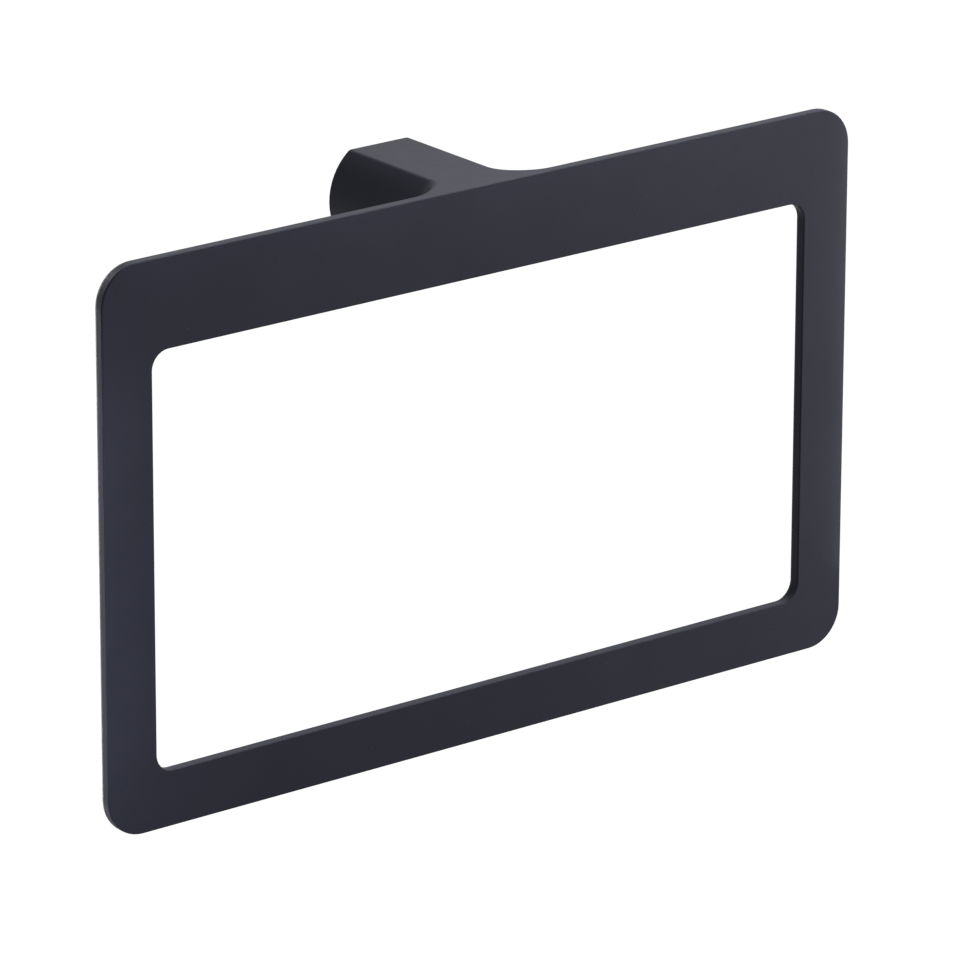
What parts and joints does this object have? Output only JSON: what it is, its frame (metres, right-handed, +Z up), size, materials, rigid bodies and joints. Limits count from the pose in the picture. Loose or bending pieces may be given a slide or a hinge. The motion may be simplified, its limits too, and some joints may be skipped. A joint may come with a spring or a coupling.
{
  "type": "towel ring",
  "caption": "Rectangular wall-mounted towel ring: a flat matte black frame with rounded corners, carried off the wall by a round post with a flat top that hides its bracket.",
  "frame": {"origin": "on the post's axis in the wall plane, midway between the two wall holes", "axes": "+Y into the wall, so the front faces -Y; +Z up; +X to the right of someone facing the front"},
  "size_m": [0.24, 0.047, 0.15],
  "materials": {
    "matte_black": "matte",
    "bracket_steel": "satin",
    "screw_steel": "satin"
  },
  "bodies": {
    "root": {"ring_casting": "matte_black", "wall_bracket": "bracket_steel", "set_screw": "screw_steel"}
  },
  "joints": []
}
